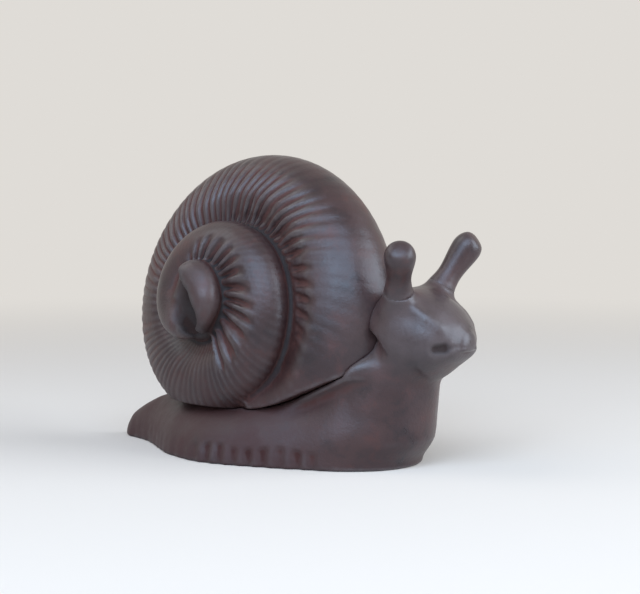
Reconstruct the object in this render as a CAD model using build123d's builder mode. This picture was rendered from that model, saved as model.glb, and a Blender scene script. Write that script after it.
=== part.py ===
"""Snail figurine: a cast body, a cast shell screwed to its back, and two pinned eye stalks.

Millimetres. +X is the way the snail faces, +Y is its left and +Z is up. The origin is the middle of
the overall box, on the surface that the foot stands on.
"""

import os
from math import cos, pi, radians, sin, tan

from build123d import *

os.makedirs("parts", exist_ok=True)

# Foot and back
foot_length = 105.0
foot_half_width = 29.0
back_height = 24.0
tail_radius = 4.8
tail_height = 7.9
wall = 5.0
nose_overhang = 19.5

# Neck
neck_top_depth = 3.6
neck_half_length = 18.0
neck_half_width = 18.0
neck_lean = 9.5
neck_core_height = 26.0
neck_wall = 6.0

# Head
head_length = 32.0
head_half_width = 13.5
head_half_height = 12.5
head_centre_height = 37.6
muzzle_drop = 2.0
muzzle_length = 13.0
brow_fullness = 0.78
jaw_fullness = 0.73

# Eye stalks
left_stalk_length = 18.2
right_stalk_length = 16.9
stalk_bulb_radius = 4.4
stalk_waist_radius = 3.5
stalk_base_radius = 4.0
stalk_flare_height = 4.5
stalk_spread = 10.9
stalk_setback = 16.8
stalk_rise = 12.4
stalk_splay = 29.6
stalk_lean = 23.0
stalk_boss_radius = 4.2
stalk_boss_root_radius = 8.5
stalk_boss_height = 11.0
spigot_radius = 2.0
spigot_length = 6.0
socket_clearance = 0.1
socket_end_gap = 0.5

# Shell spiral, as radii and heights at the aperture
whorl_centre_radius = 30.8
whorl_radial_radius = 22.9
whorl_axial_radius = 18.4
spire_height = 40.4
aperture_depth = 9.9
coil_turns = 2.0
coil_vanish_turns = 2.78
coil_power = 1.24
belly = 0.045
belly_start = 0.2
belly_turns = 1.1
knob_turns = 0.6
knob_balls = 12
knob_start_size = 0.229
knob_end_size = 0.115
knob_power = 1.4
aperture_angle = -61.0
shell_front_setback = 1.5
shell_axis_height = 24.4
apex_reach = 32.3
shell_yaw = 10.25
shell_pitch = 11.2
columella_radius = 19.0
columella_depth = 20.0
callus_radius = 14.5
callus_advance = 14.5
callus_height = 9.0

# Seat between shell and body
seat_height = 15.0
seat_web = 5.0
seat_ramp_angle = 24.0
seat_ramp_land = 3.5
seat_pad_land = 6.0
seat_pad_half_width = 15.0
seat_pad_height = 18.0
seat_pad_round = 9.0
seat_pad_setback = 55.25
shell_clearance = 0.2
core_mouth_radius = 10.0
core_end_radius = 8.0
core_depth = 32.0

# M4 screws and washers
screw_radius = 2.0
screw_head_radius = 4.0
screw_head_height = 2.6
screw_spacing = 29.5
thread_depth = 10.0
thread_clearance = 0.05
thread_end_gap = 2.0
hole_clearance = 0.25
washer_radius = 4.5
washer_thickness = 0.8
washer_pocket_clearance = 0.5

# Shapes as shares of the sizes above: along the foot from the tail, half width, height
foot_profile = [
    (0.090, 0.24, 0.45),
    (0.140, 0.31, 0.55),
    (0.200, 0.45, 0.62),
    (0.270, 0.64, 0.66),
    (0.350, 0.83, 0.71),
    (0.510, 1.00, 0.84),
    (0.700, 0.87, 1.00),
    (0.870, 0.64, 1.00),
    (0.960, 0.42, 0.75),
]
# Up the neck: height, share of the lean, half length, half width
neck_profile = [
    (0.00, 0.00, 0.83, 0.96),
    (0.24, 0.50, 1.08, 1.05),
    (0.47, 0.63, 1.03, 0.96),
    (0.70, 0.74, 0.97, 0.86),
    (0.85, 0.87, 0.95, 0.80),
    (1.00, 1.00, 0.94, 0.66),
]
# Back along the head from the nose: distance, half width, height above and depth below its middle
head_profile = [
    (0.00, 0.27, 0.26, 0.11),
    (0.08, 0.53, 0.46, 0.33),
    (0.21, 0.83, 0.71, 0.63),
    (0.34, 0.94, 0.87, 0.92),
    (0.54, 1.00, 1.00, 1.00),
    (0.75, 0.70, 0.96, 1.00),
    (1.00, 0.52, 0.90, 1.00),
]

# Places that follow from the sizes
tail_x = -(foot_length + nose_overhang) / 2
front_x = tail_x + foot_length
nose_x = front_x + nose_overhang
mid_y = (apex_reach - foot_half_width) / 2
tail_centre = (tail_x + tail_radius, mid_y, 0)
foot_sizes = [(tail_radius, tail_radius, tail_height)]
for along, wide, high in foot_profile:
    foot_sizes.append((foot_length * along, foot_half_width * wide, back_height * high))
neck_height = head_centre_height - neck_top_depth
pad_x = front_x - seat_pad_setback
pad_half_length = screw_spacing / 2 + seat_pad_land
ramp_x = pad_x + screw_spacing / 2 + seat_ramp_land
screw_places = [(pad_x - screw_spacing / 2, mid_y), (pad_x + screw_spacing / 2, mid_y)]
web_under = seat_height - seat_web
screw_length = washer_thickness + seat_web + thread_depth
flat_seat = Plane.XY.offset(seat_height)
ramp_tilt = radians(seat_ramp_angle)
ramp_seat = Plane(
    origin=(ramp_x, 0, seat_height),
    x_dir=(cos(ramp_tilt), 0, sin(ramp_tilt)),
    z_dir=(-sin(ramp_tilt), 0, cos(ramp_tilt)),
)
yaw = radians(shell_yaw)
pitch = radians(shell_pitch)
shell_axis = Vector(-sin(yaw) * cos(pitch), -cos(yaw) * cos(pitch), sin(pitch))
shell_forward = Vector(cos(yaw), -sin(yaw), 0)
shell_up = shell_axis.cross(shell_forward)


def growth(turns):
    """Size of the shell's tube, as a share of the aperture, some turns back along the coil."""
    return (1 - turns / coil_vanish_turns) ** coil_power


def outward(turns):
    """Direction from the shell's axis to the middle of the tube there."""
    angle = radians(aperture_angle) + 2 * pi * turns
    return shell_forward * cos(angle) + shell_up * sin(angle)


def swell(turns):
    """Share by which the coil stands out further, round the back of the largest whorl."""
    share = min(max((turns - belly_start) / belly_turns, 0), 1)
    return 1 + belly * sin(pi * share) ** 2


def whorl_centre(turns, size):
    """Middle of a tube of that size there, from the point where the shell's axis starts."""
    along_axis = aperture_depth + spire_height * (1 - size)
    return shell_axis * along_axis + outward(turns) * (whorl_centre_radius * size * swell(turns))


# The shell's front stays behind the front of the foot, and the tip of the spire is its rightmost point
front_turns = -aperture_angle / 360
shell_front_reach = (whorl_centre_radius + whorl_radial_radius) * growth(front_turns)
coil_end = whorl_centre(coil_turns, growth(coil_turns))
nucleus_radius = whorl_radial_radius * growth(coil_turns)
shell_origin = Vector(
    front_x - shell_front_setback - shell_front_reach,
    mid_y - apex_reach + nucleus_radius - coil_end.Y,
    seat_height + shell_axis_height,
)


def whorl_plane(turns):
    """Plane across the tube there, with its X axis out from the shell's axis."""
    centre = shell_origin + whorl_centre(turns, growth(turns))
    return Plane(centre, x_dir=outward(turns), z_dir=outward(turns).cross(shell_axis))


# The pad under the coil that takes the screws
with BuildPart() as seat_pad:
    with BuildSketch(flat_seat):
        with Locations((pad_x, mid_y)):
            Ellipse(pad_half_length, seat_pad_half_width)
    extrude(amount=seat_pad_height)
    fillet(seat_pad.edges().group_by(Axis.Z)[-1], seat_pad_round)


def shell_form(allowance):
    """Outer form of the shell above its seat, larger all round by the allowance."""
    with BuildPart() as form:
        stretches = round(coil_turns / 0.5)
        steps = 6
        for stretch in range(stretches):
            for step in range(steps + 1):
                turns = coil_turns * (stretch + step / steps) / stretches
                with BuildSketch(whorl_plane(turns)):
                    Ellipse(
                        whorl_radial_radius * growth(turns) * swell(turns) + allowance,
                        whorl_axial_radius * growth(turns) + allowance,
                    )
            loft()
        with Locations(shell_origin + coil_end):
            Sphere(nucleus_radius + allowance)
        # The columella closes the middle of the coil
        with Locations(shell_origin + shell_axis * columella_depth):
            Sphere(columella_radius + allowance)
        # The callus closes the aperture beside it
        with Locations((pad_x + callus_advance, mid_y, seat_height + callus_height)):
            Sphere(callus_radius + allowance)
        add(seat_pad.part)
        split(bisect_by=flat_seat, keep=Keep.TOP)
        split(bisect_by=ramp_seat, keep=Keep.TOP)
    return form.part


def quarter_oval(half_width, height, fullness=cos(pi / 4)):
    """A quarter of an oval, upright at its side and level at its top. Fullness places its shoulder."""
    shoulder = (half_width * fullness, height * fullness)
    Spline((half_width, 0), shoulder, (0, height), tangents=((0, height), (-half_width, 0)))


def foot_sections(sizes, inset):
    """Half-ellipse sections along the foot from the tail, smaller all round by the inset."""
    sections = []
    for along, outer_half_width, outer_height in sizes:
        half_width = outer_half_width - inset
        height = outer_height - inset
        place = (tail_x + along, mid_y, 0)
        with BuildSketch(Plane(place, x_dir=(0, 1, 0), z_dir=(1, 0, 0))) as section:
            with BuildLine():
                Line((-half_width, 0), (half_width, 0))
                quarter_oval(half_width, height)
                quarter_oval(-half_width, height)
            make_face()
        sections.append(section.sketch)
    return sections


def neck_sections(inset, height, profile):
    """Ellipses up the neck, smaller all round by the inset."""
    sections = []
    for up, lean, long, wide in profile:
        half_length = neck_half_length * long
        place = (front_x + neck_lean * lean - half_length, mid_y, height * up)
        with BuildSketch(Plane(place)) as section:
            Ellipse(half_length - inset, neck_half_width * wide - inset)
        sections.append(section.sketch)
    return sections


def head_sections(profile):
    """Sections back along the head from the nose, with a full brow and a rounder jaw."""
    sections = []
    for back, wide, above, below in profile:
        half_width = head_half_width * wide
        muzzle = max(0, 1 - head_length * back / muzzle_length)
        drop = muzzle_drop * muzzle**2 * (3 - 2 * muzzle)
        place = (nose_x - head_length * back, mid_y, head_centre_height - drop)
        with BuildSketch(Plane(place, x_dir=(0, 1, 0), z_dir=(1, 0, 0))) as section:
            with BuildLine():
                for side in (1, -1):
                    quarter_oval(side * half_width, head_half_height * above, brow_fullness)
                    quarter_oval(side * half_width, -head_half_height * below, jaw_fullness)
            make_face()
        sections.append(section.sketch)
    return sections


def stalk_plane(side):
    """Plane of an eye stalk's seat on the head, with its Z axis along the stalk."""
    base = (nose_x - stalk_setback, mid_y + side * stalk_spread, head_centre_height + stalk_rise)
    direction = Vector(tan(radians(stalk_lean)), side * tan(radians(stalk_splay)), 1)
    return Plane(base, x_dir=(1, 0, -tan(radians(stalk_lean))), z_dir=direction)


# Shell
shell_outside = shell_form(0)
with BuildPart() as shell:
    add(shell_outside)
    # The coil winds on into a knob of balls that lie close together and shrink
    for ball in range(1, knob_balls + 1):
        share = ball / knob_balls
        size = knob_start_size + (knob_end_size - knob_start_size) * share**knob_power
        with Locations(shell_origin + whorl_centre(coil_turns + knob_turns * share, size)):
            Sphere((whorl_radial_radius + whorl_axial_radius) / 2 * size)
    with BuildSketch(flat_seat):
        with Locations((pad_x, mid_y)):
            Circle(core_mouth_radius)
    with BuildSketch(flat_seat.offset(core_depth)):
        with Locations((pad_x, mid_y)):
            Circle(core_end_radius)
    loft(mode=Mode.SUBTRACT)
    with BuildSketch(flat_seat):
        with Locations(screw_places):
            Circle(screw_radius + thread_clearance)
    extrude(amount=thread_depth + thread_end_gap, mode=Mode.SUBTRACT)
shell.part.label = "shell"
export_step(shell.part, "parts/shell.step")

# Room for the shell in the body
shell_room = shell_form(shell_clearance)

# Hollow under the back, up to the web that carries the shell, and up into the neck
with BuildPart() as hollow:
    loft(foot_sections(foot_sizes[3:-1], wall))
    split(bisect_by=Plane.XY.offset(web_under), keep=Keep.BOTTOM)
    loft(neck_sections(neck_wall, neck_core_height, neck_profile[:4]))
    with BuildSketch():
        with Locations(screw_places):
            Circle(washer_radius + washer_pocket_clearance)
    extrude(amount=web_under)

# Body
with BuildPart() as body:
    loft(foot_sections(foot_sizes, 0))
    with BuildSketch(Plane(tail_centre, x_dir=(0, 1, 0), z_dir=(1, 0, 0))):
        with BuildLine():
            Polyline((0, tail_height), (0, 0), (tail_radius, 0))
            quarter_oval(tail_radius, tail_height)
        make_face()
    revolve(axis=Axis(tail_centre, (0, 0, 1)), revolution_arc=180)
    loft(neck_sections(0, neck_height, neck_profile))
    loft(head_sections(head_profile))
    for side in (1, -1):
        with BuildSketch(stalk_plane(side)):
            Circle(stalk_boss_radius)
        with BuildSketch(stalk_plane(side).offset(-stalk_boss_height)):
            Circle(stalk_boss_root_radius)
        loft()
    add(shell_room, mode=Mode.SUBTRACT)
    add(hollow.part, mode=Mode.SUBTRACT)
    with BuildSketch(Plane.XY.offset(web_under)):
        with Locations(screw_places):
            Circle(screw_radius + hole_clearance)
    extrude(amount=seat_web, mode=Mode.SUBTRACT)
    # Flat seats and sockets for the eye stalks
    for side in (1, -1):
        with BuildSketch(stalk_plane(side)):
            Circle(stalk_base_radius + socket_clearance)
        extrude(amount=right_stalk_length, mode=Mode.SUBTRACT)
        with BuildSketch(stalk_plane(side)):
            Circle(spigot_radius + socket_clearance)
        extrude(amount=-(spigot_length + socket_end_gap), mode=Mode.SUBTRACT)
body.part.label = "body"
export_step(body.part, "parts/body.step")

# Eye stalks
for side, name, length in (
    (1, "left_eye_stalk", left_stalk_length),
    (-1, "right_eye_stalk", right_stalk_length),
):
    seat = stalk_plane(side)
    bulb_height = length - stalk_bulb_radius
    bulb_shoulder = stalk_bulb_radius * cos(pi / 4)
    profile_plane = Plane(seat.origin, x_dir=seat.x_dir, z_dir=-seat.y_dir)
    with BuildPart() as stalk:
        with BuildSketch(profile_plane):
            with BuildLine():
                Polyline(
                    (0, length),
                    (0, -spigot_length),
                    (spigot_radius, -spigot_length),
                    (spigot_radius, 0),
                    (stalk_base_radius, 0),
                )
                Spline(
                    (stalk_base_radius, 0),
                    (stalk_waist_radius, stalk_flare_height),
                    (stalk_bulb_radius, bulb_height),
                    (bulb_shoulder, bulb_height + bulb_shoulder),
                    (0, length),
                    tangents=((-0.3, 1), (-1, 0)),
                )
            make_face()
        revolve(axis=Axis(seat.origin, seat.z_dir))
    stalk.part.label = name
    export_step(stalk.part, f"parts/{name}.step")

# Screws
with BuildPart() as screws:
    head_top = web_under - washer_thickness
    with BuildSketch(Plane.XY.offset(head_top)):
        with Locations(screw_places):
            Circle(screw_head_radius)
    extrude(amount=-screw_head_height)
    with BuildSketch(Plane.XY.offset(head_top)):
        with Locations(screw_places):
            Circle(screw_radius)
    extrude(amount=screw_length)
screws.part.label = "shell_screws"
export_step(screws.part, "parts/shell_screws.step")

# Washers
with BuildPart() as washers:
    with BuildSketch(Plane.XY.offset(web_under)):
        with Locations(screw_places):
            Circle(washer_radius)
            Circle(screw_radius + hole_clearance, mode=Mode.SUBTRACT)
    extrude(amount=-washer_thickness)
washers.part.label = "screw_washers"
export_step(washers.part, "parts/screw_washers.step")
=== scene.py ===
"""Snail figurine in cast iron: a carved body, a ribbed shell, two eye stalks and the screws below.

The forms are fields in millimetres, in the frame's axes: +X is the way the snail faces, +Y is its
left and +Z is up. A field is below zero inside its form, and near the skin it is a distance.
"""

from math import cos, pi, radians, sin, tan

import bpy
import numpy as np
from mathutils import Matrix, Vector


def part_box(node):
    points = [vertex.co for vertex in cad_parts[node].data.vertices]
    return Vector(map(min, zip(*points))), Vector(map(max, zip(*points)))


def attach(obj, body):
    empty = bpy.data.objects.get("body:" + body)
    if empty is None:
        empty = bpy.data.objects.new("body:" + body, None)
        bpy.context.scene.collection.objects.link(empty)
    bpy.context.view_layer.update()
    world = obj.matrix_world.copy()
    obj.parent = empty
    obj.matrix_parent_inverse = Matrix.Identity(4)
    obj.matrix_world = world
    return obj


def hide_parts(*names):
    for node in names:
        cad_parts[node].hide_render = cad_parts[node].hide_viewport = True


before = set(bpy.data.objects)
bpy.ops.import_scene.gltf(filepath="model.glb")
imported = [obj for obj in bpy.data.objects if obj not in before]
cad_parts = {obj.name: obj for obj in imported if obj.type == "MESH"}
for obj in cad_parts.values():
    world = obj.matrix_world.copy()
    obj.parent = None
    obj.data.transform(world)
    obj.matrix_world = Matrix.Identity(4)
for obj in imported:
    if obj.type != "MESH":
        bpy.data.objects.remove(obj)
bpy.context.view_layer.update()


def box_of(node):
    """Lowest and highest corner of a CAD node, in millimetres."""
    low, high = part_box(node)
    return np.array(low) * 1000, np.array(high) * 1000


body_low, body_high = box_of("body")
tail_x = body_low[0]
nose_x = body_high[0]
mid_y = (body_low[1] + body_high[1]) / 2
shell_right = box_of("shell")[0][1]

# Foot and back
foot_length = 105.0
foot_half_width = 29.0
back_height = 24.0
wall = 5.0
tail_round = 6.0
toe_end = 0.93 * foot_length
toe_round = 12.0
sole_round = 0.9
hollow_start = 0.20 * foot_length
hollow_end = 0.87 * foot_length
hollow_round = 0.8
front_x = tail_x + foot_length

# Flutes round the rim of the foot, and where along it they grow and fade
flute_pitch = 4.8
flute_depth = 0.8
flute_height = 6.4
flute_top_fade = 2.4
flutes_grow = (42.0, 58.0)
flutes_fade = (94.0, 84.0)
rear_flute_share = 0.25
front_flute_share = 0.12

# Neck
neck_height = 34.0
neck_half_length = 18.0
neck_half_width = 18.0
neck_lean = 9.5
neck_wall = 6.0
neck_core_height = 18.0
neck_core_blend = 2.0
neck_overlap = 2.0
neck_top_round = 6.0
neck_blend = 7.0

# Head
head_length = 32.0
head_half_width = 13.5
head_half_height = 12.5
head_centre_height = 37.6
muzzle_drop = 2.0
muzzle_length = 13.0
cheek_drop = 1.2
cheek_band = 1.5
chin_share = 0.8
crown_power = 2.25
chin_power = 2.2
nose_round = 4.0
nape_round = 6.0
brow_blend = 3.0
mouth_blend = 1.6
# Edge of the painted shade along the mouth
mouth_painted_shade_edge = (0.9, -0.3)
head_blend = 3.5

# Eye stalks
left_stalk_length = 18.2
right_stalk_length = 16.9
stalk_bulb_radius = 4.4
stalk_waist_radius = 3.5
stalk_base_radius = 4.0
stalk_flare_height = 4.5
stalk_skirt = 0.6
stalk_slack = 0.1
stalk_stub = 3.0
stalk_tip_round = 5.6
stalk_edge_round = 0.12
stalk_uneven = 0.12
stalk_uneven_scale = 2.6
stalk_flat_depth = 0.9
stalk_flat_round = 1.2
left_flat_way = (0.75, 0.25, 0.61)
right_flat_way = (0.45, -0.60, 0.66)
stalk_spread = 10.9
stalk_setback = 16.8
stalk_rise = 12.4
stalk_splay = radians(29.6)
stalk_lean = radians(23.0)
stalk_root_radius = 8.0
stalk_root_depth = 11.0
stalk_root_blend = 4.0
spigot_radius = 2.0
spigot_length = 6.0
spigot_overlap = 0.5
socket_clearance = 0.1
socket_overrun = 0.5

# Shell spiral, as radii and heights at the aperture
whorl_centre_radius = 30.8
whorl_radial_radius = 22.9
whorl_axial_radius = 18.4
spire_height = 40.4
aperture_depth = 9.9
coil_vanish_turns = 2.78
coil_power = 1.24
least_size = 0.002
belly = 0.045
belly_start = 0.2
belly_turns = 1.1
knob_turns = 2.0
aperture_angle = radians(-61.0)
shell_front_setback = 1.5
shell_axis_height = 24.4
shell_yaw = radians(10.25)
shell_pitch = radians(11.2)
columella_radius = 19.0
columella_depth = 20.0
callus_radius = 14.5
callus_advance = 14.5
callus_height = 9.0

# Fillets of the shell, wider on its left side, and the trim of its right side
left_side = (-8.0, 8.0)
end_blend = 2.6
whorl_blend = 1.3
left_blend = 10.0
fill_blend = 4.0
left_fill_blend = 9.0
knob_blend = 1.2
knob_middle_blend = 2.5
right_inset = 0.1
right_round = 1.5

# Ribs, teeth and pleats
ribs_a_turn = 72
rib_depth = 0.8
rib_power = 1.4
rib_lean = 0.02
rib_floor = 0.05
rib_clear = (0.3, 2.5)
rib_outer = (0.95, 0.40)
rib_right = (-0.4, 0.2)
low_rib_share = 0.22
second_rib_share = 0.8
teeth_a_turn = 46
tooth_depth = 0.8
pleats_a_turn = 27
pleat_depth = 1.3
pleat_start = (0.8, 3.2)
pleat_reach = 6.5
pleat_extra_reach = 4.0
pleat_right = (0.0, 0.35)
far_pleat_share = 0.12
skin_inset = 0.02

# Turns back along the coil where a pattern starts, is full, begins to fade and ends
top_rib_turns = (0.20, 0.34, 0.52, 0.70)
low_rib_turns = (0.52, 0.66, 1.02, 1.16)
tooth_turns = (0.10, 0.18, 0.36, 0.48)
# The same for the teeth by distance from the next whorl
tooth_band = (1.5, 4.0, 6.0, 11.0)
# Turns over which the pleats reach less far, grow faint and end
pleat_shorter = (1.25, 1.10)
pleat_faint = (1.60, 1.45)
pleat_end = (1.95, 1.85)

# The valley between the first two whorls, and the end of the coil on the right and the left side
valley_width = 9.5
valley_depth = 2.3
valley_heights = (1.0, 12.0)
lip_taper = 0.8
inner_lip_taper = 1.2
lip_ease = 1.0
inner_lip_ease = 10.0

# Seat between shell and body
seat_height = 15.0
seat_web = 5.0
seat_ramp_angle = radians(24.0)
seat_ramp_land = 3.5
seat_pad_land = 6.0
seat_pad_half_width = 15.0
seat_pad_height = 18.0
seat_pad_round = 9.0
seat_pad_setback = 55.25
seat_bend_round = 4.0
seat_edge_round = 0.5

# Seam round the shell, and the collar along it
seam_gap = 0.25
seam_round = 0.4
collar_height = 2.4
collar_offset = 0.6
collar_half_width = 2.2
collar_start = (8.0, 22.0)
collar_top = (34.0, 27.0)

# Cored middle of the shell, screws and washers
core_mouth_radius = 10.0
core_end_radius = 8.0
core_depth = 32.0
screw_radius = 2.0
screw_spacing = 29.5
thread_depth = 12.0
thread_clearance = 0.1
hole_clearance = 0.25
hole_overrun = 1.0
washer_radius = 5.0
pad_x = front_x - seat_pad_setback
ramp_x = pad_x + screw_spacing / 2 + seat_ramp_land
screw_x = (pad_x - screw_spacing / 2, pad_x + screw_spacing / 2)

# Shares of the sizes above: along the foot from the tail, half width, height
foot_profile = np.array([
    (0.000, 0.15, 0.25),
    (0.040, 0.18, 0.33),
    (0.080, 0.22, 0.43),
    (0.140, 0.31, 0.55),
    (0.200, 0.45, 0.62),
    (0.270, 0.64, 0.66),
    (0.350, 0.83, 0.71),
    (0.510, 1.00, 0.84),
    (0.700, 0.87, 1.00),
    (0.870, 0.64, 1.00),
    (0.960, 0.42, 0.75),
])
# Up the neck: height, share of the lean, half length, half width
neck_profile = np.array([
    (0.00, 0.00, 0.83, 0.94),
    (0.24, 0.50, 1.08, 1.00),
    (0.47, 0.63, 1.03, 0.92),
    (0.70, 0.74, 0.97, 0.85),
    (0.85, 0.87, 0.95, 0.80),
    (1.00, 1.00, 0.94, 0.66),
])
# Back along the head from the nose: distance, half width, height above and depth below its middle
head_profile = np.array([
    (0.03, 0.37, 0.36, 0.18),
    (0.08, 0.53, 0.46, 0.33),
    (0.13, 0.67, 0.56, 0.44),
    (0.21, 0.83, 0.71, 0.63),
    (0.34, 0.94, 0.87, 0.92),
    (0.54, 1.00, 1.00, 1.00),
    (0.64, 0.92, 1.00, 1.00),
    (0.75, 0.68, 0.96, 1.00),
    (1.00, 0.52, 0.90, 1.00),
])

# Turns back along the coil and size of the tube in the knob at its end
knob_profile = np.array([
    (1.85, 0.2572),
    (1.92, 0.2395),
    (2.17, 0.2080),
    (2.38, 0.1720),
    (2.50, 0.0400),
    (2.60, least_size),
])
# The brow and the mouth, as distances back from the nose, aside and above the head's middle, and radii
brow_line = np.array([
    (15.0, 10.2, 8.8, 0.3),
    (11.5, 10.0, 7.2, 0.7),
    (8.6, 9.2, 5.2, 0.7),
    (5.4, 7.8, 2.6, 0.2),
])
mouth_line = np.array([
    (1.0, 4.6, -2.5, -0.60),
    (1.9, 6.4, -2.5, 0.00),
    (3.3, 8.7, -2.8, 1.50),
    (5.0, 10.2, -3.0, 1.20),
])
# The knob, by distance along the shell's axis, ahead of it and above it: a dome and a raised tongue
knob_dome_centre = (38.0, 0.5, -1.5)
knob_dome_reach = (7.4, 8.5, 11.0)
knob_tongue = ((42.3, 1.6, 4.2), (42.5, 6.4, -1.2))
knob_tongue_radius = 4.8
knob_tongue_blend = 3.0
# The pit beside the tongue, seen along the axis: ahead, above, level and its radius
knob_pit = np.array([
    (-0.6, 4.2, 0, 0.8),
    (-0.4, 1.0, 0, 2.6),
    (1.4, -2.6, 0, 4.0),
    (2.8, -6.2, 0, 4.3),
    (3.0, -9.0, 0, 2.6),
])
# The pit's floor, as its place along the axis at a point ahead and above, and its slopes from there
pit_floor_place = (39.0, 3.5, -4.0)
pit_floor_rise = 0.7
pit_floor_tilt = 0.15
pit_floor_round = 1.5
pit_edge_round = 1.5
pit_far_round = 4.5
pit_far_side = (1.5, -2.5)
# Edge of the painted shade in the pit
pit_painted_shade_edge = (2.8, -0.8)

# Grid steps of the skins
body_step = 0.5
shell_step = 0.53
stalk_step = 0.35


# Field helpers

def rise_between(low, high, value):
    """0 below low, 1 above high, and a smooth rise between."""
    share = np.clip((value - low) / (high - low), 0, 1)
    return share * share * (3 - 2 * share)


def within(window, value):
    """1 inside a window, with a smooth rise over its first two values and a fall over its last two."""
    start, full, fade, end = window
    return rise_between(start, full, value) * rise_between(end, fade, value)


def part_way(first, second, share):
    """Value a share of the way from the first to the second."""
    return first + (second - first) * share


def ripple(count, sway):
    """A wave between 0 and 1 that repeats with each whole count, shifted by the sway."""
    return 0.5 - 0.5 * np.cos(2 * pi * count + sway)


def join(a, b, blend):
    """Both forms, with a fillet about as wide as the blend."""
    share = np.clip(0.5 + 0.5 * (b - a) / blend, 0, 1)
    return b + (a - b) * share - blend * share * (1 - share)


def meet(a, b, blend):
    """Only where both forms are, with its edge rounded by the blend."""
    return -join(-a, -b, blend)


def cut(a, b, blend):
    """The first form without the second."""
    return meet(a, -b, blend)


def oval(across, up, half_width, half_height, power=2.0):
    """Distance from an oval, fuller at its corners for a power above 2."""
    u = np.abs(across / half_width) + 1e-9
    v = np.abs(up / half_height) + 1e-9
    level = (u**power + v**power) ** (1 / power)
    slope_u = (u / level) ** (power - 1) / half_width
    slope_v = (v / level) ** (power - 1) / half_height
    return (level - 1) / np.hypot(slope_u, slope_v)


def through(stations, values, place):
    """Smooth curve through values at rising stations, level beyond both ends."""
    gaps = np.diff(stations)
    slopes = np.diff(values) / gaps
    before, after = slopes[:-1], slopes[1:]
    total = before + after
    bends = np.zeros(len(values))
    mean = 2 * after * before / np.where(total == 0, 1, total)
    bends[1:-1] = np.where(after * before > 0, mean, 0)
    place = np.clip(place, stations[0], stations[-1])
    step = np.clip(np.searchsorted(stations, place, side="right") - 1, 0, len(gaps) - 1)
    share = (place - stations[step]) / gaps[step]
    start, end = values[step], values[step + 1]
    lift = bends[step] * gaps[step]
    land = bends[step + 1] * gaps[step]
    turn = start - end
    return start + share * (lift + share * (-3 * turn - 2 * lift - land + share * (2 * turn + lift + land)))


def capsule(x, y, z, start, end, radius, taper=0.0):
    """Distance from a round bar between two points, thicker at its end by the taper."""
    run = np.array(end) - np.array(start)
    offset = (x - start[0], y - start[1], z - start[2])
    share = sum(o * r for o, r in zip(offset, run)) / (run @ run)
    share = np.clip(share, 0, 1)
    squares = sum((o - share * r) ** 2 for o, r in zip(offset, run))
    return np.sqrt(squares) - radius - taper * share


def bent_bar(x, y, z, rows):
    """Distance from a round bar through rows of places and radii."""
    bars = []
    for start, end in zip(rows, rows[1:]):
        bars.append(capsule(x, y, z, start[:3], end[:3], start[3], end[3] - start[3]))
    return np.minimum.reduce(bars)


def ball(x, y, z, centre, radius):
    """Distance from a ball."""
    return np.sqrt((x - centre[0]) ** 2 + (y - centre[1]) ** 2 + (z - centre[2]) ** 2) - radius


def wobble(x, y, z, scale, seed):
    """Slow, even variation between about -1 and 1."""
    total = 0
    for number in range(3):
        turn = seed + 2.4 * number
        swing = x * cos(turn) + y * sin(turn) + z * cos(turn + 1.1)
        total = total + np.sin(swing / scale * (1 + 0.37 * number) + 1.7 * seed + number)
    return total / 3


# Shell

shell_axis = np.array([
    -sin(shell_yaw) * cos(shell_pitch),
    -cos(shell_yaw) * cos(shell_pitch),
    sin(shell_pitch),
])
shell_forward = np.array([cos(shell_yaw), -sin(shell_yaw), 0])
shell_up = np.cross(shell_axis, shell_forward)


def growth(turns):
    """Size of the tube, as a share of the aperture, some turns back along the coil."""
    steady = np.clip(1 - turns / coil_vanish_turns, least_size, None) ** coil_power
    knob = through(knob_profile[:, 0], knob_profile[:, 1], turns)
    return np.where(turns < knob_profile[0, 0], steady, knob)


def swell(turns):
    """Share by which the coil stands out further, round the back of the largest whorl."""
    return 1 + belly * np.sin(pi * np.clip((turns - belly_start) / belly_turns, 0, 1)) ** 2


def axial_place(size):
    """How far along the shell's axis the middle of a tube of that size is."""
    return aperture_depth + spire_height * (1 - size)


knob_size = (1 - knob_turns / coil_vanish_turns) ** coil_power
knob_angle = aperture_angle + 2 * pi * knob_turns
knob_outward = shell_forward * cos(knob_angle) + shell_up * sin(knob_angle)
knob_centre = shell_axis * axial_place(knob_size) + knob_outward * whorl_centre_radius * knob_size
front_reach = (whorl_centre_radius + whorl_radial_radius) * growth(-aperture_angle / (2 * pi))
shell_origin = np.array([
    front_x - shell_front_setback - front_reach,
    shell_right + whorl_radial_radius * knob_size - knob_centre[1],
    seat_height + shell_axis_height,
])


def coil_place(x, y, z):
    """Distances along the shell's axis, ahead of it and above it."""
    offset = (x - shell_origin[0], y - shell_origin[1], z - shell_origin[2])
    return [sum(o * a for o, a in zip(offset, way)) for way in (shell_axis, shell_forward, shell_up)]


def rib_depths(turns, outer, right):
    """Depth of the fine ribs across the whorls, by place round the tube's section."""
    uneven = 1.2 * np.sin(10 * pi * turns) + 0.8 * np.sin(26 * pi * turns + 1)
    wave = ripple(ribs_a_turn * (turns + rib_lean * outer), uneven) ** rib_power
    shoulder = rise_between(*rib_outer, outer) * rise_between(*rib_right, right)
    upper = part_way(rib_floor, 1, within(top_rib_turns, turns) * shoulder)
    patchy = 0.7 + 0.3 * np.sin(2 * pi * 3.7 * turns + 5 * outer)
    lower = low_rib_share * within(low_rib_turns, turns) * patchy
    return rib_depth * wave * (upper + lower)


def tooth_depths(turns, outer, inner):
    """Depth of the teeth on the largest whorl where it dips to the next, by distance from that."""
    wave = ripple(teeth_a_turn * (turns + rib_lean * outer), 0)
    return tooth_depth * wave * within(tooth_band, inner) * within(tooth_turns, turns)


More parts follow.
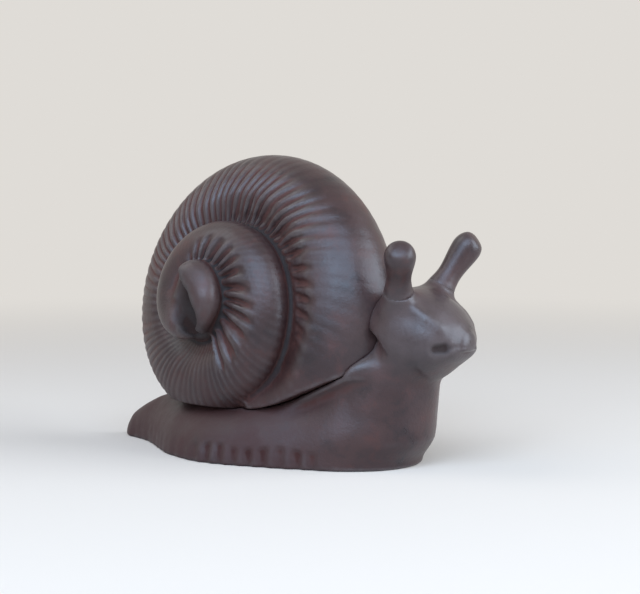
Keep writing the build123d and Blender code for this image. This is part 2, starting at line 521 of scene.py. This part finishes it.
def pleat_depths(turns, outer, right, inner):
    """Depth of the pleats round the knob, by distance from it."""
    uneven = 0.9 * np.sin(14 * pi * turns)
    wave = ripple(pleats_a_turn * (turns + 0.5 * rib_lean * outer), uneven)
    reach = pleat_reach + pleat_extra_reach * rise_between(*pleat_shorter, turns)
    band = within((*pleat_start, reach - 2, reach + 4), inner)
    near = part_way(far_pleat_share, 1, rise_between(*pleat_faint, turns))
    near = near * rise_between(*pleat_end, turns)
    return pleat_depth * wave * band * near * rise_between(*pleat_right, right)


def whorls(along, ahead, above, valley, taper, ease, carved):
    """Distances from the tapered end of the coil and from each whorl, with a valley before the second.

    The carved whorls have ribs, teeth and pleats, and the others are plain.
    """
    radius = np.hypot(ahead, above)
    share = np.mod((np.arctan2(above, ahead) - aperture_angle) / (2 * pi), 1)
    tubes = []
    sections = []
    for whorl in (-1, 0, 1, 2):
        turns = share + whorl
        size = growth(turns)
        wide = size * swell(turns)
        across = radius - whorl_centre_radius * wide
        rise = along - axial_place(size)
        tubes.append(oval(across, rise, whorl_radial_radius * wide, whorl_axial_radius * size))
        sections.append(np.arctan2(rise / whorl_axial_radius, across / whorl_radial_radius))
    end, first, second, knob = tubes
    end = end + taper * (np.hypot(2 * pi * (1 - share) * radius, ease) - ease)
    first = first + valley * rise_between(valley_width, 0.5, second)
    if carved:
        outer, right = np.cos(sections[1]), np.sin(sections[1])
        ribs = rib_depths(share, outer, right) * part_way(rib_floor, 1, rise_between(*rib_clear, second))
        first = first + ribs + tooth_depths(share, outer, second) + skin_inset
        outer, right = np.cos(sections[2]), np.sin(sections[2])
        ribs = rib_depths(share + 1, outer, right) * part_way(rib_floor, 1, rise_between(*rib_clear, knob))
        second = second + second_rib_share * ribs + pleat_depths(share + 1, outer, right, knob)
    return end, first, second, knob


def knob_middle(along, ahead, above):
    """Distance from the dome and the tongue in the middle of the knob."""
    place = [(p - c) / r for p, c, r in zip((along, ahead, above), knob_dome_centre, knob_dome_reach)]
    dome = (np.sqrt(sum(p * p for p in place)) - 1) * min(knob_dome_reach)
    tongue = capsule(along, ahead, above, *knob_tongue, knob_tongue_radius)
    return join(dome, tongue, knob_tongue_blend)


def knob_pit_field(along, ahead, above):
    """Distance from the comma-shaped pit, steep beside the tongue and rising away from it."""
    pit = bent_bar(ahead, above, 0 * along, knob_pit)
    floor, front, level = pit_floor_place
    floor = floor + pit_floor_rise * (front - ahead) + pit_floor_tilt * (above - level)
    # The slanting floor is nearer than its distance along the axis
    slant = 0.7
    return meet(pit, slant * (floor - along), pit_floor_round)


def pit_painted_shade(x, y, z):
    """Share of the painted shade that darkens the pit of the knob."""
    return rise_between(*pit_painted_shade_edge, knob_pit_field(*coil_place(x, y, z)))


def seat_surface(x):
    """Height of the seat that the shell stands on, with its bend rounded."""
    ramp = seat_height + (x - ramp_x) * tan(seat_ramp_angle)
    return -join(-seat_height, -ramp, seat_bend_round)


def radius_field(x, y, at_x):
    """Distance from an upright line on the middle plane."""
    return np.hypot(x - at_x, y - mid_y)


def shell_form(x, y, z, carved):
    """The shell above its seat, with or without its carving."""
    place = coil_place(x, y, z)
    valley = valley_depth * rise_between(*valley_heights, z - seat_height)
    left = rise_between(*left_side, y)
    taper = part_way(lip_taper, inner_lip_taper, left)
    ease = part_way(lip_ease, inner_lip_ease, left)
    end, first, second, knob = whorls(*place, valley, taper, ease, carved)
    form = join(end, first, part_way(end_blend, left_blend, left))
    form = join(form, second, part_way(whorl_blend, left_blend, left))
    knob = join(knob, knob_middle(*place), knob_middle_blend)
    form = join(form, knob, knob_blend)
    far = rise_between(*pit_far_side, place[1])
    form = cut(form, knob_pit_field(*place), part_way(pit_edge_round, pit_far_round, far))
    form = meet(form, shell_right + right_inset - y, right_round)
    # On the left side the middle of the coil is closed by soft forms
    soft = part_way(fill_blend, left_fill_blend, rise_between(0, left_side[1], y))
    centre = shell_origin + shell_axis * columella_depth
    form = join(form, ball(x, y, z, centre, columella_radius), soft)
    centre = (pad_x + callus_advance, mid_y, seat_height + callus_height)
    form = join(form, ball(x, y, z, centre, callus_radius), soft)
    pad_half_length = screw_spacing / 2 + seat_pad_land
    pad = oval(x - pad_x, y - mid_y, pad_half_length, seat_pad_half_width)
    pad = meet(pad, z - seat_height - seat_pad_height, seat_pad_round)
    form = join(form, pad, soft)
    return meet(form, seat_surface(x) - z, seat_edge_round)


def shell_field(x, y, z):
    """The shell with its ribs, its cored middle and its tapped holes."""
    form = shell_form(x, y, z, True)
    depth = np.clip((z - seat_height) / core_depth, 0, 1)
    core_radius = part_way(core_mouth_radius, core_end_radius, depth)
    core = np.maximum(radius_field(x, y, pad_x) - core_radius, z - seat_height - core_depth)
    form = np.maximum(form, -core)
    hole_radius = screw_radius + thread_clearance
    for place in screw_x:
        hole = np.maximum(radius_field(x, y, place) - hole_radius, z - seat_height - thread_depth)
        form = np.maximum(form, -hole)
    return form


# Body

rim_stations = np.linspace(0, foot_length, 200)
rim_widths = foot_half_width * through(foot_profile[:, 0] * foot_length, foot_profile[:, 1], rim_stations)
rim_lengths = np.concatenate([[0], np.cumsum(np.hypot(np.diff(rim_stations), np.diff(rim_widths)))])


def foot_field(x, y, z, inset):
    """The foot from the tail to under the neck."""
    along = x - tail_x
    stations = foot_profile[:, 0] * foot_length
    half_width = foot_half_width * through(stations, foot_profile[:, 1], along) - inset
    height = back_height * through(stations, foot_profile[:, 2], along) - inset
    return oval(y - mid_y, z, half_width, height)


def flutes(x, y, z):
    """Depth of the flutes round the rim of the foot."""
    along = x - tail_x
    run = np.interp(along, rim_stations, rim_lengths)
    sway = 0.5 * np.sin(run / 9.0 + 1.5 * np.sign(y - mid_y)) + 0.35 * np.sin(run / 5.3)
    wave = ripple(run / flute_pitch, sway)
    top = flute_height + 0.5 * np.sin(run / 3.1)
    band = rise_between(top, top - flute_top_fade, z)
    strong = part_way(rear_flute_share, 1, rise_between(*flutes_grow, along))
    strong = strong * part_way(front_flute_share, 1, rise_between(*flutes_fade, along))
    strong = strong * (0.8 + 0.2 * np.sin(run / 2.3))
    return flute_depth * wave * band * strong


def neck_field(x, y, z, inset):
    """The neck, leaning forward over the front of the foot."""
    stations = neck_profile[:, 0] * neck_height
    half_length = neck_half_length * through(stations, neck_profile[:, 2], z)
    half_width = neck_half_width * through(stations, neck_profile[:, 3], z)
    lean = neck_lean * through(stations, neck_profile[:, 1], z)
    return oval(x - front_x - lean + half_length, y - mid_y, half_length - inset, half_width - inset)


def head_field(x, y, z):
    """The head: a broad top between brow lines, a blunt muzzle over the mouth and a receding chin."""
    back = nose_x - x
    side = np.abs(y - mid_y)
    stations = head_profile[:, 0] * head_length
    half_width = head_half_width * through(stations, head_profile[:, 1], back)
    height = head_half_height * through(stations, head_profile[:, 2], back)
    depth = head_half_height * through(stations, head_profile[:, 3], back)
    centre = head_centre_height - muzzle_drop * rise_between(muzzle_length, 0, back)
    widest = centre - cheek_drop
    upper = oval(side, z - widest, half_width, height + cheek_drop, crown_power)
    lower = oval(side, z - widest, half_width, depth - chin_share * cheek_drop, chin_power)
    form = part_way(lower, upper, rise_between(-cheek_band, cheek_band, z - widest))
    form = meet(form, -back, nose_round)
    form = meet(form, back - head_length, nape_round)
    above = z - head_centre_height
    form = join(form, bent_bar(back, side, above, brow_line), brow_blend)
    return cut(form, bent_bar(back, side, above, mouth_line), mouth_blend)


def mouth_painted_shade(x, y, z):
    """Share of the painted shade along the mouth."""
    bar = bent_bar(nose_x - x, np.abs(y - mid_y), z - head_centre_height, mouth_line)
    return rise_between(*mouth_painted_shade_edge, bar)


stalk_direction = np.array([tan(stalk_lean), tan(stalk_splay), 1])
stalk_direction = stalk_direction / np.linalg.norm(stalk_direction)
stalk_base = np.array([nose_x - stalk_setback, stalk_spread, head_centre_height + stalk_rise])


def stalk_place(x, side, z):
    """Height along a stalk from its seat on the head, and distance from its middle line."""
    offset = (x - stalk_base[0], side - stalk_base[1], z - stalk_base[2])
    height = sum(o * d for o, d in zip(offset, stalk_direction))
    squares = sum(o * o for o in offset) - height**2
    return height, np.sqrt(np.maximum(squares, 0))


def rooted_stalk(height, radius, length):
    """A club-shaped stalk with the flared root on the head that it stands on."""
    profile = np.array([
        (-stalk_root_depth, stalk_root_radius),
        (-0.45 * stalk_root_depth, stalk_base_radius + 1.2),
        (-0.18 * stalk_root_depth, stalk_base_radius + 0.3),
        (0, stalk_base_radius),
        (0.5 * stalk_flare_height, stalk_waist_radius + 0.15),
        (stalk_flare_height, stalk_waist_radius),
        (length - stalk_bulb_radius, stalk_bulb_radius),
        (length, stalk_bulb_radius - 0.1),
    ])
    # The slanting side is a little nearer than its distance from the middle line
    slant = 0.95
    form = slant * (radius - through(profile[:, 0], profile[:, 1], height))
    return np.maximum(form, -height - stalk_root_depth)


def body_field(x, y, z):
    """The body: foot, neck and head, cored below, with room for the shell and the stalks."""
    along = x - tail_x
    form = foot_field(x, y, z, 0) + flutes(x, y, z)
    form = meet(form, -along, tail_round)
    form = meet(form, along - toe_end, toe_round)
    neck = meet(neck_field(x, y, z, 0), z - neck_height - neck_overlap, neck_top_round)
    form = join(form, neck, neck_blend)
    form = join(form, head_field(x, y, z), head_blend)
    height, radius = stalk_place(x, np.abs(y - mid_y), z)
    root = np.maximum(rooted_stalk(height, radius, left_stalk_length), height - stalk_stub)
    form = join(form, root, stalk_root_blend)
    # The seam with the shell, and the collar that follows it
    shell = shell_form(x, y, z, False)
    beside = np.exp(-(((shell - collar_offset) / collar_half_width) ** 2))
    beside = beside * rise_between(*collar_start, x) * rise_between(*collar_top, z)
    form = form - collar_height * beside
    form = cut(form, shell - seam_gap, seam_round)
    # The cored hollow below
    above_web = z - seat_height + seat_web
    hollow = np.maximum(foot_field(x, y, z, wall), above_web)
    hollow = np.maximum(hollow, np.maximum(hollow_start - along, along - hollow_end))
    core = np.maximum(neck_field(x, y, z, neck_wall), z - neck_core_height)
    hollow = join(hollow, core, neck_core_blend)
    hole_radius = screw_radius + hole_clearance
    for place in screw_x:
        pocket = np.maximum(radius_field(x, y, place) - washer_radius, above_web)
        hole = np.maximum(radius_field(x, y, place) - hole_radius, z - seat_height - hole_overrun)
        hollow = np.minimum(hollow, np.minimum(pocket, hole))
    form = cut(form, hollow, hollow_round)
    # Flat seats and sockets for the eye stalks
    above_seat = np.maximum(-height, height - spigot_length)
    recess = np.maximum(radius - stalk_base_radius - socket_clearance, above_seat)
    socket_end = np.abs(height) - spigot_length - socket_overrun
    socket = np.maximum(radius - spigot_radius - socket_clearance, socket_end)
    form = cut(form, np.minimum(recess, socket), stalk_edge_round)
    return meet(form, -z, sole_round)


# Eye stalks

def stalk_field(side_sign):
    """Field of one eye stalk: a blunt club on a spigot."""
    stalk_length = left_stalk_length if side_sign > 0 else right_stalk_length
    bulb = stalk_base + stalk_direction * (stalk_length - stalk_bulb_radius)
    flat_way = left_flat_way if side_sign > 0 else right_flat_way

    def field(x, y, z):
        height, radius = stalk_place(x, side_sign * (y - mid_y), z)
        form = rooted_stalk(height, radius, stalk_length)
        form = meet(form, height - stalk_length, stalk_tip_round)
        offset = (x - bulb[0], y - mid_y - side_sign * bulb[1], z - bulb[2])
        flat = sum(o * w for o, w in zip(offset, flat_way)) - stalk_bulb_radius + stalk_flat_depth
        form = meet(form, flat, stalk_flat_round)
        uneven = 1 + wobble(x, y, z, stalk_uneven_scale, 3.0 + side_sign)
        form = form + stalk_uneven * uneven * rise_between(0, 4, height)
        # The root on the head continues in the stalk, which stays slim below its seat
        form = join(form, head_field(x, y, z), stalk_root_blend)
        form = form + stalk_slack * rise_between(0.1, -0.3, height)
        limit = stalk_base_radius + 2 * rise_between(2, 6, height)
        form = meet(form, radius - limit, stalk_edge_round)
        form = meet(form, -height - stalk_skirt, stalk_edge_round)
        spigot_ends = np.maximum(height - spigot_overlap, -height - spigot_length)
        return np.minimum(form, np.maximum(radius - spigot_radius, spigot_ends))

    return field


# Skin of a field

def sample(field, low, high, step):
    """Values of a field on a grid over a box. Far from the skin one value stands for a block."""
    block = 4
    counts = np.ceil((high - low) / (step * block)).astype(int) + 1
    middles = [low[i] + step * (block * np.arange(counts[i]) + (block - 1) / 2) for i in range(3)]
    rough = field(*np.meshgrid(*middles, indexing="ij"))
    values = rough
    near = np.abs(rough) < 1.5 * block * step
    for axis in range(3):
        values = values.repeat(block, axis)
        near = near.repeat(block, axis)
    places = np.nonzero(near)
    values[places] = field(*(low[i] + step * places[i] for i in range(3)))
    return values


def skin_points(values, low, step):
    """A point in each grid cell that the skin crosses, with the faces between them."""
    inside = values < 0
    cells = tuple(n - 1 for n in values.shape)
    corners = [(i, j, k) for i in (0, 1) for j in (0, 1) for k in (0, 1)]

    def corner(array, shift):
        return array[tuple(slice(s, s + n) for s, n in zip(shift, cells))]

    filled = sum(corner(inside, shift).astype(np.int8) for shift in corners)
    crossed = (filled > 0) & (filled < 8)
    number = np.full(cells, -1)
    number[crossed] = np.arange(crossed.sum())
    places = np.array(np.nonzero(crossed)).T
    total = np.zeros((len(places), 3))
    count = np.zeros(len(places))
    for start in corners:
        for axis in range(3):
            if start[axis]:
                continue
            end = tuple(s + (i == axis) for i, s in enumerate(start))
            a = corner(values, start)[crossed]
            b = corner(values, end)[crossed]
            hit = (a < 0) != (b < 0)
            share = np.where(hit, a / np.where(hit, a - b, 1), 0)
            point = np.tile(np.array(start, float), (len(places), 1))
            point[:, axis] += share
            total[hit] += point[hit]
            count[hit] += 1
    points = low + step * (places + total / count[:, None])
    faces = []
    for axis in range(3):
        a, b = [i for i in range(3) if i != axis]
        lower = [slice(1, -1)] * 3
        upper = [slice(1, -1)] * 3
        lower[axis] = slice(0, -1)
        upper[axis] = slice(1, None)
        change = inside[tuple(lower)] != inside[tuple(upper)]
        leaving = inside[tuple(lower)][change]
        base = np.array(np.nonzero(change)).T
        base[:, [a, b]] += 1
        ring = []
        for shift_a, shift_b in ((-1, -1), (0, -1), (0, 0), (-1, 0)):
            cell = base.copy()
            cell[:, a] += shift_a
            cell[:, b] += shift_b
            ring.append(number[tuple(cell.T)])
        quads = np.array(ring).T
        forward = leaving if axis != 1 else ~leaving
        quads[~forward] = quads[~forward][:, ::-1]
        faces.append(quads)
    return points, np.concatenate(faces)


def slope(field, points):
    """Value and direction of steepest rise of a field at some points."""
    reach = 0.05
    value = field(*points.T)
    rise = np.empty_like(points)
    for axis in range(3):
        moved = points.copy()
        moved[:, axis] += reach
        rise[:, axis] = (field(*moved.T) - value) / reach
    return value, rise


def neighbour_mean(points, edges, count):
    """Mean of each point's neighbours."""
    total = np.zeros_like(points)
    for axis in range(3):
        total[:, axis] = np.bincount(edges[:, 0], points[edges[:, 1], axis], len(points))
        total[:, axis] += np.bincount(edges[:, 1], points[edges[:, 0], axis], len(points))
    return total / count[:, None]


def skin(name, field, low, high, step, painted_shade=None):
    """Mesh of a field's skin, in metres, with how hollow it is at each point and, if given, how much
    painted shade it gets.

    The points are moved onto the skin twice, and evened out between.
    """
    least_slope = 0.3
    furthest = 0.6 * step
    low = low - 2 * step
    values = sample(field, low, high + 2 * step, step)
    points, faces = skin_points(values, low, step)
    edges = np.concatenate([faces[:, [0, 1]], faces[:, [1, 2]], faces[:, [2, 3]], faces[:, [3, 0]]])
    edges = np.unique(np.sort(edges, axis=1), axis=0)
    count = np.bincount(edges.ravel(), minlength=len(points))
    for settle in range(2):
        value, rise = slope(field, points)
        length = np.linalg.norm(rise, axis=1)
        normal = rise / np.maximum(length, 1e-6)[:, None]
        move = np.clip(value / np.maximum(length, least_slope), -furthest, furthest)
        points = points - normal * move[:, None]
        if settle == 0:
            drift = neighbour_mean(points, edges, count) - points
            drift -= normal * np.sum(drift * normal, axis=1)[:, None]
            points = points + 0.5 * drift
    smooth = points
    marks = {}
    for rounds, kind in ((6, "hollow"), (60, "basin")):
        for _ in range(rounds):
            smooth = neighbour_mean(smooth, edges, count)
        marks[kind] = np.sum((smooth - points) * normal, axis=1)
    if painted_shade:
        marks["painted_shade"] = painted_shade(*points.T)
    mesh = bpy.data.meshes.new(name)
    mesh.from_pydata(points / 1000, [], faces)
    mesh.polygons.foreach_set("use_smooth", np.ones(len(faces), bool))
    for kind, amounts in marks.items():
        mesh.attributes.new(kind, "FLOAT", "POINT").data.foreach_set("value", amounts)
    return mesh


def piece(name, node, field, step, painted_shade=None):
    """An object on the root body with a field's skin, in place of a CAD node."""
    low, high = box_of(node)
    item = bpy.data.objects.new(name, skin(name, field, low, high, step, painted_shade))
    bpy.context.scene.collection.objects.link(item)
    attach(item, "root")
    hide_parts(node)
    return item


body = piece("snail_body", "body", body_field, body_step, mouth_painted_shade)
shell = piece("snail_shell", "shell", shell_field, shell_step, pit_painted_shade)
left_stalk = piece("left_stalk", "left_eye_stalk", stalk_field(1), stalk_step)
right_stalk = piece("right_stalk", "right_eye_stalk", stalk_field(-1), stalk_step)


# Materials

light_brown = (0.050, 0.022, 0.020, 1)
dark_brown = (0.026, 0.011, 0.011, 1)
patch_red = (0.072, 0.022, 0.017, 1)
patch_black = (0.014, 0.008, 0.009, 1)
rust_red = (0.075, 0.024, 0.018, 1)
basin_red = (0.052, 0.018, 0.015, 1)
# Painted shade for the broad hollows and the deep creases
basin_painted_shade_black = (0.010, 0.006, 0.006, 1)
crease_painted_shade_black = (0.012, 0.007, 0.007, 1)
wear_grey = (0.095, 0.078, 0.080, 1)
# Painted light on the head; the low parts partly rust and partly painted shade; painted shade in the pit
# and the mouth
head_painted_light_grey = (0.085, 0.066, 0.068, 1)
low_rust_and_shade_red = (0.038, 0.012, 0.011, 1)
painted_shade_black = (0.014, 0.008, 0.006, 1)
gloss_tint = (0.78, 0.89, 1.0, 1)
steel_dark = (0.42, 0.42, 0.43, 1)
steel_light = (0.62, 0.62, 0.60, 1)

# Where the head painted lighter as if lit more and the redder, darker low parts fade, in metres along the
# frame's axes
head_back = (0.026, 0.048)
head_bottom = (0.022, 0.034)
head_top = (0.046, 0.054)
low_top = (0.030, 0.010)
low_front = (0.036, 0.014)


class Surface:
    """A new material, with short ways to add nodes to it."""

    def __init__(self, name):
        self.material = bpy.data.materials.new(name)
        self.material.use_nodes = True
        self.nodes = self.material.node_tree.nodes
        self.links = self.material.node_tree.links
        self.shader = self.nodes["Principled BSDF"]
        self.place = self.nodes.new("ShaderNodeTexCoord").outputs["Object"]

    def fill(self, node, inputs):
        """Links or sets the inputs of a node."""
        for name, value in inputs.items():
            if isinstance(value, bpy.types.NodeSocket):
                self.links.new(value, node.inputs[name])
            else:
                node.inputs[name].default_value = value

    def noise(self, scale, detail, roughness):
        """Noise over the places on the object."""
        node = self.nodes.new("ShaderNodeTexNoise")
        inputs = {"Vector": self.place, "Scale": scale, "Detail": detail, "Roughness": roughness}
        self.fill(node, inputs)
        return node.outputs["Fac"]

    def spread(self, value, from_low, from_high, to_low, to_high):
        """A value carried from one range to another, and held at its ends."""
        node = self.nodes.new("ShaderNodeMapRange")
        inputs = {
            "Value": value,
            "From Min": from_low,
            "From Max": from_high,
            "To Min": to_low,
            "To Max": to_high,
        }
        self.fill(node, inputs)
        return node.outputs["Result"]

    def mix(self, share, base, colour):
        """The base with a share of a colour over it."""
        node = self.nodes.new("ShaderNodeMix")
        node.data_type = "RGBA"
        self.fill(node, {"Factor": share, "A": base, "B": colour})
        return node.outputs["Result"]

    def combine(self, operation, a, b):
        """Two values put together."""
        node = self.nodes.new("ShaderNodeMath")
        node.operation = operation
        self.fill(node, {0: a, 1: b})
        return node.outputs["Value"]

    def mark(self, name):
        """A value kept at the points of the mesh."""
        node = self.nodes.new("ShaderNodeAttribute")
        node.attribute_name = name
        return node.outputs["Fac"]


def iron_material():
    """Dark brown cast iron: satin and patchy, with rust in the hollows and grey wear on the crests.

    The head is painted lighter grey as if lit more, what is low and behind it is redder and darker, partly
    rust and partly painted shade, and painted shade darkens the broad hollows, the creases, the pit and the
    mouth, the last three of which are also matt.
    """
    iron = Surface("cast_iron")
    shader = iron.shader
    shader.inputs["Specular IOR Level"].default_value = 0.55
    shader.inputs["Specular Tint"].default_value = gloss_tint
    depth = iron.mark("hollow")
    basin = iron.mark("basin")
    painted_shade = iron.mark("painted_shade")
    broad = iron.noise(45, 3, 0.6)
    patchy = iron.noise(120, 5, 0.65)
    fine = iron.noise(260, 4, 0.6)
    # Brown with redder and darker patches
    colour = iron.mix(iron.spread(broad, 0.35, 0.65, 0, 1), dark_brown, light_brown)
    colour = iron.mix(iron.spread(patchy, 0.54, 0.68, 0, 0.6), colour, patch_red)
    colour = iron.mix(iron.spread(patchy, 0.46, 0.32, 0, 0.6), colour, patch_black)
    # Rust in the hollows by depth in millimetres, painted shade darkening the broad hollows and the deep
    # creases, and wear on what stands out
    rust = iron.spread(depth, 0.02, 0.14, 0, 0.8)
    rust = iron.combine("MULTIPLY", rust, iron.spread(broad, 0.3, 0.55, 0.5, 1))
    colour = iron.mix(rust, colour, rust_red)
    colour = iron.mix(iron.spread(basin, 0.25, 0.80, 0, 0.75), colour, basin_red)
    colour = iron.mix(iron.spread(basin, 0.50, 1.00, 0, 0.9), colour, basin_painted_shade_black)
    colour = iron.mix(iron.spread(depth, 0.16, 0.40, 0, 0.85), colour, crease_painted_shade_black)
    wear = iron.spread(depth, -0.03, -0.14, 0, 0.6)
    wear = iron.combine("MULTIPLY", wear, iron.spread(fine, 0.35, 0.6, 0.3, 1))
    colour = iron.mix(wear, colour, wear_grey)
    # The head painted lighter grey as if lit more, the low parts redder and darker, partly rust and partly
    # painted shade, and painted shade in the pit and the mouth
    split = iron.nodes.new("ShaderNodeSeparateXYZ")
    iron.links.new(iron.place, split.inputs["Vector"])
    ahead, above = split.outputs["X"], split.outputs["Z"]
    head_painted_light = iron.spread(ahead, *head_back, 0, 0.7)
    head_painted_light = iron.combine("MULTIPLY", head_painted_light, iron.spread(above, *head_bottom, 0, 1))
    head_painted_light = iron.combine("MULTIPLY", head_painted_light, iron.spread(above, *head_top, 1, 0.15))
    head_painted_light = iron.combine("MULTIPLY", head_painted_light, iron.spread(patchy, 0.3, 0.6, 0.5, 1))
    colour = iron.mix(head_painted_light, colour, head_painted_light_grey)
    # Partly rust and partly painted shade: redder and darker low down, behind the head
    low = iron.spread(above, *low_top, 0, 1)
    low = iron.combine("MULTIPLY", low, iron.spread(ahead, *low_front, 0, 1))
    low_patches = iron.combine("MULTIPLY", low, iron.spread(patchy, 0.3, 0.6, 0.3, 0.9))
    colour = iron.mix(low_patches, colour, low_rust_and_shade_red)
    colour = iron.mix(iron.spread(painted_shade, 0, 1, 0, 0.9), colour, painted_shade_black)
    # Rougher low down, in the painted shade of the pit and the mouth, and in creases
    rough = iron.spread(patchy, 0.3, 0.7, 0.27, 0.47)
    rough = iron.combine("ADD", rough, iron.spread(low, 0, 1, 0, 0.22))
    rough = iron.combine("ADD", rough, iron.spread(painted_shade, 0, 1, 0, 0.55))
    rough = iron.combine("ADD", rough, iron.spread(depth, 0.03, 0.14, 0, 0.40))
    bump = iron.nodes.new("ShaderNodeBump")
    iron.fill(bump, {"Strength": 0.25, "Distance": 0.0003, "Height": iron.noise(900, 3, 0.6)})
    iron.fill(shader, {"Base Color": colour, "Roughness": rough, "Normal": bump.outputs["Normal"]})
    return iron.material


def steel_material():
    """Zinc-plated steel of the screws and washers."""
    steel = Surface("screw_steel")
    steel.shader.inputs["Metallic"].default_value = 1.0
    grain = steel.noise(700, 3, 0.5)
    colour = steel.mix(grain, steel_dark, steel_light)
    rough = steel.spread(grain, 0, 1, 0.28, 0.45)
    steel.fill(steel.shader, {"Base Color": colour, "Roughness": rough})
    return steel.material


iron = iron_material()
for item in (body, shell, left_stalk, right_stalk):
    item.data.materials.append(iron)
steel = steel_material()
for node in ("shell_screws", "screw_washers"):
    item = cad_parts[node]
    item.data.materials.clear()
    item.data.materials.append(steel)


# Floor, light and camera

backdrop_colour = (0.74, 0.715, 0.68, 1)
floor_colour = (0.80, 0.75, 0.69, 1)
floor_half = 12.0
floor_fade = (0.14, 0.60)
cool_light = (0.66, 0.80, 1.0)
pale_light = (0.84, 0.91, 1.0)
warm_light = (1.0, 0.93, 0.88)
light_target = (0.0, 0.0, 0.04)
world_colour = (1.0, 0.97, 0.93, 1)
world_strength = 0.18
camera_place = (0.31384, -0.41466, 0.08752)
camera_azimuth = radians(36.0)
camera_elevation = radians(4.6)
camera_lens = 101.25


def floor_material():
    """Plain matt floor that turns into the backdrop away from the object."""
    pale = Surface("floor_pale")
    pale.shader.inputs["Base Color"].default_value = floor_colour
    pale.shader.inputs["Roughness"].default_value = 0.9
    pale.shader.inputs["Specular IOR Level"].default_value = 0.2
    far = pale.nodes.new("ShaderNodeEmission")
    far.inputs["Color"].default_value = backdrop_colour
    distance = pale.nodes.new("ShaderNodeVectorMath")
    distance.operation = "LENGTH"
    pale.links.new(pale.place, distance.inputs[0])
    fade = pale.nodes.new("ShaderNodeMapRange")
    fade.interpolation_type = "SMOOTHSTEP"
    fade.inputs["From Min"].default_value = floor_fade[0]
    fade.inputs["From Max"].default_value = floor_fade[1]
    pale.links.new(distance.outputs["Value"], fade.inputs["Value"])
    blend = pale.nodes.new("ShaderNodeMixShader")
    pale.links.new(fade.outputs["Result"], blend.inputs[0])
    pale.links.new(pale.shader.outputs["BSDF"], blend.inputs[1])
    pale.links.new(far.outputs["Emission"], blend.inputs[2])
    pale.links.new(blend.outputs["Shader"], pale.nodes["Material Output"].inputs["Surface"])
    return pale.material


floor_mesh = bpy.data.meshes.new("floor")
floor_corners = [(-1, -1), (1, -1), (1, 1), (-1, 1)]
floor_mesh.from_pydata([(a * floor_half, b * floor_half, 0) for a, b in floor_corners], [], [(0, 1, 2, 3)])
floor_mesh.materials.append(floor_material())
floor = bpy.data.objects.new("floor", floor_mesh)
bpy.context.scene.collection.objects.link(floor)


def area_light(name, place, size, watts, colour):
    """A square soft light aimed at the object."""
    light = bpy.data.lights.new(name, "AREA")
    light.shape = "SQUARE"
    light.size = size
    light.energy = watts
    light.color = colour
    item = bpy.data.objects.new(name, light)
    item.location = place
    item.rotation_euler = (Vector(light_target) - Vector(place)).to_track_quat("-Z", "Y").to_euler()
    bpy.context.scene.collection.objects.link(item)


# Cool light from the right and the front, and a little warm light from the rear
area_light("key", (0.43, -0.61, 0.71), 0.80, 8.2, cool_light)
area_light("right", (0.02, -0.80, 0.46), 0.60, 3.0, cool_light)
area_light("front", (0.80, 0.26, 0.38), 0.80, 9.0, pale_light)
area_light("fill", (-0.50, -0.30, 0.75), 0.60, 1.8, warm_light)

# Soft light from all round, with the pale backdrop in its place where it is seen or mirrored
world = bpy.data.worlds.new("studio")
bpy.context.scene.world = world
world.use_nodes = True
world_nodes = world.node_tree.nodes
world_links = world.node_tree.links
soft_light = world_nodes["Background"]
soft_light.inputs["Color"].default_value = world_colour
soft_light.inputs["Strength"].default_value = world_strength
backdrop = world_nodes.new("ShaderNodeBackground")
backdrop.inputs["Color"].default_value = backdrop_colour
path = world_nodes.new("ShaderNodeLightPath")
shown = path.outputs["Is Camera Ray"]
for kind in ("Is Glossy Ray", "Is Transmission Ray"):
    either = world_nodes.new("ShaderNodeMath")
    either.operation = "MAXIMUM"
    world_links.new(shown, either.inputs[0])
    world_links.new(path.outputs[kind], either.inputs[1])
    shown = either.outputs["Value"]
choose = world_nodes.new("ShaderNodeMixShader")
world_links.new(shown, choose.inputs[0])
world_links.new(soft_light.outputs["Background"], choose.inputs[1])
world_links.new(backdrop.outputs["Background"], choose.inputs[2])
world_links.new(choose.outputs["Shader"], world_nodes["World Output"].inputs["Surface"])

camera_data = bpy.data.cameras.new("camera")
camera_data.lens = camera_lens
camera_data.sensor_width = 36
camera_data.sensor_fit = "HORIZONTAL"
camera_data.clip_start = 0.01
camera_data.clip_end = 50
camera = bpy.data.objects.new("camera", camera_data)
camera.location = camera_place
camera_back = Vector((
    sin(camera_azimuth) * cos(camera_elevation),
    -cos(camera_azimuth) * cos(camera_elevation),
    sin(camera_elevation),
))
camera.rotation_euler = camera_back.to_track_quat("Z", "Y").to_euler()
bpy.context.scene.collection.objects.link(camera)
bpy.context.scene.camera = camera
bpy.context.scene.view_settings.view_transform = "Standard"
